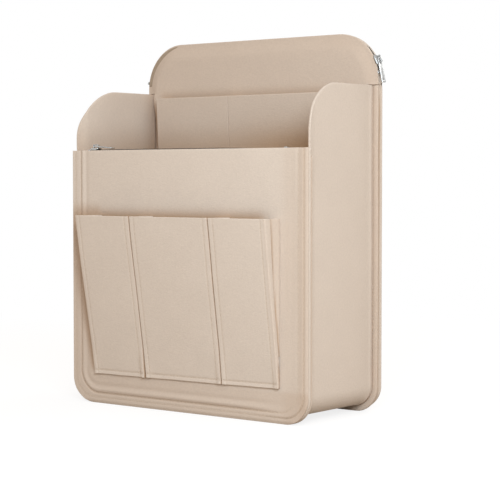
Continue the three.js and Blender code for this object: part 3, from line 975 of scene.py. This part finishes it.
    def end_shade(self, z, index, t):
        """Painted shade on a free end, most in a dark groove on its side where it goes in behind the
        doubled felt.
        """
        _, out = self.edge(index, z)
        _, _, side_start, side_end, step_end, round_end, _, face_start = self.marks
        if t <= side_end:
            length = max(0.5, self.reach * out - 2)
            behind = (side_end - t) * length / (side_end - side_start)
            return max(OUTER_END, OUTER_END_GROOVE * hill(behind, min(2.7, 0.6 * length), 1.0))
        if t <= step_end:
            return OUTER_END_GROOVE
        foot = PLEAT * (1 - smooth(out, 0.09, 0.15)) * hill(t, round_end - 0.2, 1.2)
        return max(foot, 0.12 * hill(t, face_start, 1.3))


def make_pocket(
    names, node, surface, feet, folds, bottom, top, reach, seed, fold_round, fin, lifts
):
    """A pocket with one section of felt for each name, sewn on a wall's surface."""
    rows = lines(
        (bottom, bottom + 7, 0.6), (bottom + 7, bottom + FLANGE_START - 0.5, 2.4),
        (bottom + FLANGE_START - 0.5, bottom + FLANGE_START + 0.5, 1),
        (bottom + FLANGE_START + 0.5, top - 6, 5), (top - 6, top, 1),
    )
    cut_top = bottom + FLANGE_START
    for index, (name, foot, fold, lift) in enumerate(zip(names, feet, folds, lifts)):
        free = (index == 0, index == len(names) - 1)
        section = PocketSection(
            surface, foot, fold, bottom, top, reach, seed + 1.7 * index, fold_round,
            fin if free[1] else min(fin, FIN_LEAST), lift, free,
        )
        felt = Felt(section.across, rows, section.place, section.dent, 1, section.crease)
        flange_end = section.marks[4 if fin else 2] - 0.01
        total = section.total
        piece = felt.piece(
            name, "organizer", node,
            gone=lambda u, z: z < cut_top and (u < flange_end or u > total - flange_end),
        )
        inset = FOLD_LINE - fold_round
        left, right = section.face[0] + inset, section.face[1] - inset
        felt.sew([(left - 3, bottom + FOOT_LINE), (right + 3, bottom + FOOT_LINE)], 1)
        if fin:
            felt.sew([(left, bottom + 2), (left, top - 2)], 1)
            felt.sew([(right, bottom + 2), (right, top - 2)], 1)
        threads = felt.stitching(name + "_stitching", "organizer")
        height = top - bottom
        sides = 2 * (FLANGE + reach / 2) * height * FLANGE_CUT
        total * MM
        (section.width * height + sides) * MM * MM


make_pocket(
    ["outer_pocket_left", "outer_pocket_middle", "outer_pocket_right"], "outer_pocket",
    front_surface,
    feet=[(OUTER_LEFT, -38.35), (-37.75, 40.0), (40.6, 94.7)],
    folds=[(-99.4, -41.1), (-40.5, 39.75), (40.35, 94.9)],
    bottom=OUTER_BOTTOM, top=OUTER_TOP, reach=OUTER_REACH, seed=11.3,
    fold_round=0.8, fin=0.37,
    lifts=[(1.0, 1.9), (0.9, 1.1), (1.0, 1.1)],
)
make_pocket(
    ["inner_pocket_left", "inner_pocket_right"], "inner_pocket",
    back_lining_surface,
    feet=[(-98.4, -20.1), (-19.9, 100.5)],
    folds=[(-98.4, -20.1), (-19.9, 100.5)],
    bottom=INNER_BOTTOM, top=INNER_TOP, reach=INNER_REACH, seed=31.9,
    fold_round=0.3, fin=0,
    lifts=[(0, 0), (0, 0)],
)


# Zips: a path along a felt edge gives a place and the direction away from the felt

TAPE_THICKNESS = 0.6
TAPE_START = 0.5
TAPE_OUT = -1.0
TAPE_SHELF = 1.6
TAPE_TURN = 0.5
TAPE_BEND = 0.3
TAPE_WIDTH = 11.1
TAPE_LIMIT = 2.1
COIL_PITCH = 1.3
COIL_STEPS = 8
COIL_INSET = 4.2
COIL_LOW = -0.2
WIRE = 0.2


class EdgePath:
    def __init__(self, legs):
        """legs are straight (start, end) pairs or (centre, radius, from angle, to angle)."""
        self.legs = legs
        self.lengths = [
            math.dist(*leg) if len(leg) == 2 else leg[1] * abs(leg[3] - leg[2]) for leg in legs
        ]
        self.length = sum(self.lengths)

    def at(self, distance):
        """x and z of the edge at a distance along it, and the way out from the felt there."""
        for leg, length in zip(self.legs, self.lengths):
            if distance <= length or leg is self.legs[-1]:
                t = distance / length
                if len(leg) == 2:
                    (x0, z0), (x1, z1) = leg
                    return blend(x0, x1, t), blend(z0, z1, t), 0.0, 1.0
                (x, z), radius, start, end = leg
                a = blend(start, end, t)
                return x + radius * math.cos(a), z + radius * math.sin(a), math.cos(a), math.sin(a)
            distance -= length

    def point(self, distance, y, out):
        x, z, out_x, out_z = self.at(distance)
        return Vector((x + out_x * out, y, z + out_z * out))


def arch(start_angle):
    centre_x, centre_z = HALF_WIDTH - BACK_TOP_ROUND, BACK_HEIGHT - BACK_TOP_ROUND
    a = math.radians(start_angle)
    return EdgePath([
        ((-centre_x, centre_z), BACK_TOP_ROUND, math.pi - a, math.pi / 2),
        ((-centre_x, BACK_HEIGHT), (centre_x, BACK_HEIGHT)),
        ((centre_x, centre_z), BACK_TOP_ROUND, math.pi / 2, a),
    ])


def wire(name, points, radius, finish, body, node):
    """Round wire along a list of points."""
    curve = bpy.data.curves.new(name, "CURVE")
    curve.dimensions = "3D"
    curve.bevel_depth = radius * MM
    curve.bevel_resolution = 1
    curve.use_fill_caps = True
    spline = curve.splines.new("POLY")
    spline.points.add(len(points) - 1)
    for target, point in zip(spline.points, points):
        target.co = (*(Vector(point) * MM), 1)
    holder = bpy.data.objects.new(name + "_line", curve)
    bpy.context.scene.collection.objects.link(holder)
    bpy.context.view_layer.update()
    evaluated = holder.evaluated_get(bpy.context.evaluated_depsgraph_get())
    mesh = bpy.data.meshes.new_from_object(evaluated)
    bpy.data.objects.remove(holder)
    mesh.name = name
    fitted(name, mesh, finish, body, [node])


def coil_points(path, side, centre_y, high, sink):
    """A flattened coil that runs along the zip, with its turns reaching towards the middle."""
    length = path.length - 2 * COIL_INSET
    points = []
    for i in range(int(length / COIL_PITCH * COIL_STEPS) + 1):
        angle = 2 * math.pi * (i / COIL_STEPS + 0.25 * side)
        along = COIL_INSET + COIL_PITCH * i / COIL_STEPS
        y = centre_y + side * (0.75 + 0.5 * math.cos(angle))
        out = blend(COIL_LOW, high, 0.5 + 0.5 * math.sin(angle)) - sink(along)
        points.append(path.point(along, y, out))
    return points


def tape_section(u, thick):
    """A tape lies flat beside the coil, turns down at the felt and goes in between its layers.

    Gives how far it is from the zip's middle and how far out from the felt's edge.
    """
    turn_start = TAPE_START + TAPE_SHELF - TAPE_BEND
    if u < TAPE_SHELF:
        return TAPE_START + u, TAPE_OUT + thick
    if u < TAPE_SHELF + TAPE_TURN:
        a = (u - TAPE_SHELF) / TAPE_TURN * math.pi / 2
        bend = TAPE_BEND + thick
        return turn_start + bend * math.sin(a), TAPE_OUT - TAPE_BEND + bend * math.cos(a)
    down = u - TAPE_SHELF - TAPE_TURN
    return turn_start + TAPE_BEND + thick, TAPE_OUT - TAPE_BEND - down


def make_tape(prefix, name, side, path, centre_y, lowest):
    bm = flat_grid(
        lines(
            (0, TAPE_SHELF, 0.4), (TAPE_SHELF, TAPE_SHELF + TAPE_TURN, 0.125),
            (TAPE_SHELF + TAPE_TURN, TAPE_WIDTH, 3),
        ),
        lines((0, path.length, 1.6)),
    )
    thicken(bm)
    for vert in bm.verts:
        u, v, w = vert.co
        y, out = tape_section(u, w * TAPE_THICKNESS / 2)
        vert.co = path.point(v, centre_y + side * min(y, TAPE_LIMIT), out)
        vert.co.z = max(vert.co.z, lowest)
    tape = finished(
        f"{prefix}_zip_{name}_tape", bm, TAPE, "zip_tape", "organizer", f"{prefix}_zip_tape_{name}",
    )


def make_zip(prefix, path, centre_y, high, sink, lowest):
    for name, side in (("front", -1), ("rear", 1)):
        wire(
            f"{prefix}_zip_{name}_coil", coil_points(path, side, centre_y, high, sink),
            WIRE, COIL, "organizer", f"{prefix}_zip_coil_{name}",
        )
        make_tape(prefix, name, side, path, centre_y, lowest)


def worked_metal(name, node, body, bevel):
    """A metal piece made from its own CAD solid, with its edges broken."""
    bm = bmesh.new()
    bm.from_mesh(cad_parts[node].data)
    bmesh.ops.scale(bm, vec=(1 / MM,) * 3, verts=bm.verts)
    bmesh.ops.remove_doubles(bm, verts=bm.verts, dist=0.002)
    bmesh.ops.dissolve_limit(bm, angle_limit=0.05, verts=bm.verts, edges=bm.edges)
    sharp = [e for e in bm.edges if len(e.link_faces) == 2 and e.calc_face_angle() > 0.5]
    bmesh.ops.bevel(
        bm, geom=sharp, offset=bevel, segments=2, profile=0.5, affect="EDGES", material=-1,
        clamp_overlap=True,
    )
    finished(name, bm, METAL, "zip_metal", body, node)


def front_sink(along):
    """The front coil sinks between the layers towards its right end."""
    return 1.1 * smooth(along, 137, 197)


def back_sink(along):
    """The back coil lies low between the layers until it rises near its right end."""
    return 1.0 - smooth(along, back_path.length - 31, back_path.length - 25)


front_path = EdgePath([((-107, FRONT_HEIGHT), (100, FRONT_HEIGHT))])
back_path = arch(5)
make_zip("front", front_path, centre_y=-35.6, high=0.6, sink=front_sink, lowest=190)
make_zip("back", back_path, centre_y=56.0, high=0.2, sink=back_sink, lowest=264.6)

for prefix in ("front", "back"):
    for stop in ("top_stop_front", "top_stop_rear", "bottom_stop"):
        worked_metal(f"{prefix}_{stop}_crimp", f"{prefix}_zip_{stop}", "organizer", 0.2)
    worked_metal(f"{prefix}_slider_metal", f"{prefix}_zip_slider", f"{prefix}_slider", 0.16)
    worked_metal(f"{prefix}_pull_metal", f"{prefix}_zip_pull", f"{prefix}_pull", 0.18)


# Studio

WHITE = (1, 1, 1, 1)
FLOOR_PAINT = (0.48, 0.41, 0.34, 1)
FLOOR_SHADE = (0.22, 0.22, 0.22, 1)
FLOOR_GLOW = 0.82
SKY = (1.0, 0.905, 0.82, 1)
SKY_STRENGTH = 0.70
LAMP_AIM = Vector((0, 0, 0.15))
LENS = 115.19
CAMERA_PLACE = Vector((0.81361, -0.99880, 0.18500))
CAMERA_TARGET = Vector((0.01670, 0.02303, 0.12706))


def where_seen(finish, unseen, seen):
    """What the camera and the metal see is one shader, and what lights the object another."""
    rays = finish.node("ShaderNodeLightPath", {}, {}).outputs
    camera, glossy, through = (
        Value(finish, rays[f"Is {kind} Ray"]) for kind in ("Camera", "Glossy", "Transmission")
    )
    factor = camera + glossy + through
    return finish.value("ShaderNodeMixShader", {}, {"Fac": factor, 1: unseen, 2: seen})


def make_floor():
    """Paper that the camera and the metal see as white with the object's shadow on it."""
    bm = bmesh.new()
    bmesh.ops.create_circle(bm, cap_ends=True, segments=96, radius=6)
    mesh = bpy.data.meshes.new("studio_floor")
    bm.to_mesh(mesh)
    bm.free()
    floor = bpy.data.objects.new("studio_floor", mesh)
    bpy.context.scene.collection.objects.link(floor)
    finish = Finish("studio_floor_paint")
    paint = finish.value("ShaderNodeBsdfDiffuse", {}, {"Color": FLOOR_PAINT})
    matte = finish.value("ShaderNodeBsdfDiffuse", {}, {"Color": FLOOR_SHADE})
    glow = finish.value("ShaderNodeEmission", {}, {"Color": WHITE, "Strength": FLOOR_GLOW})
    white = finish.value("ShaderNodeEmission", {}, {"Color": WHITE, "Strength": 1.0})
    lit = finish.value("ShaderNodeAddShader", {}, {0: matte, 1: glow})
    reach = finish.value("ShaderNodeVectorMath", {"operation": "LENGTH"}, {0: finish.place}, "Value")
    far = finish.spread(reach, 0.45, 0.9)
    shown = finish.value("ShaderNodeMixShader", {}, {"Fac": far, 1: lit, 2: white})
    finish.output(where_seen(finish, paint, shown))
    mesh.materials.append(finish.owner)


def make_world():
    """A soft warm light, and plain white where the camera and the metal see it."""
    sky = Finish("studio", bpy.data.worlds.new("studio"))
    bpy.context.scene.world = sky.owner
    soft = sky.value("ShaderNodeBackground", {}, {"Color": SKY, "Strength": SKY_STRENGTH})
    white = sky.value("ShaderNodeBackground", {}, {"Color": WHITE, "Strength": 1.0})
    sky.node("ShaderNodeOutputWorld", {}, {"Surface": where_seen(sky, soft, white)})


def add_lamp(name, place, size, power, colour=(1, 1, 1)):
    data = bpy.data.lights.new(name, "AREA")
    data.shape = "DISK"
    data.size = size
    data.energy = power
    data.color = colour
    lamp = bpy.data.objects.new(name, data)
    bpy.context.scene.collection.objects.link(lamp)
    lamp.location = place
    lamp.rotation_mode = "QUATERNION"
    lamp.rotation_quaternion = (LAMP_AIM - Vector(place)).to_track_quat("-Z", "Y")


def make_camera():
    data = bpy.data.cameras.new("camera")
    data.sensor_width = 36
    data.lens = LENS
    data.clip_start = 0.05
    data.clip_end = 50
    camera = bpy.data.objects.new("camera", data)
    bpy.context.scene.collection.objects.link(camera)
    camera.location = CAMERA_PLACE
    camera.rotation_mode = "QUATERNION"
    camera.rotation_quaternion = (CAMERA_TARGET - CAMERA_PLACE).to_track_quat("-Z", "Y")
    bpy.context.scene.camera = camera


make_floor()
make_world()
add_lamp("key", (0.66, -0.70, 0.46), size=0.42, power=6.9, colour=(0.80, 0.905, 1.0))
add_lamp("rear", (0.4, 1.5, 1.2), size=1.2, power=7)
make_camera()

bpy.context.scene.view_settings.view_transform = "Standard"
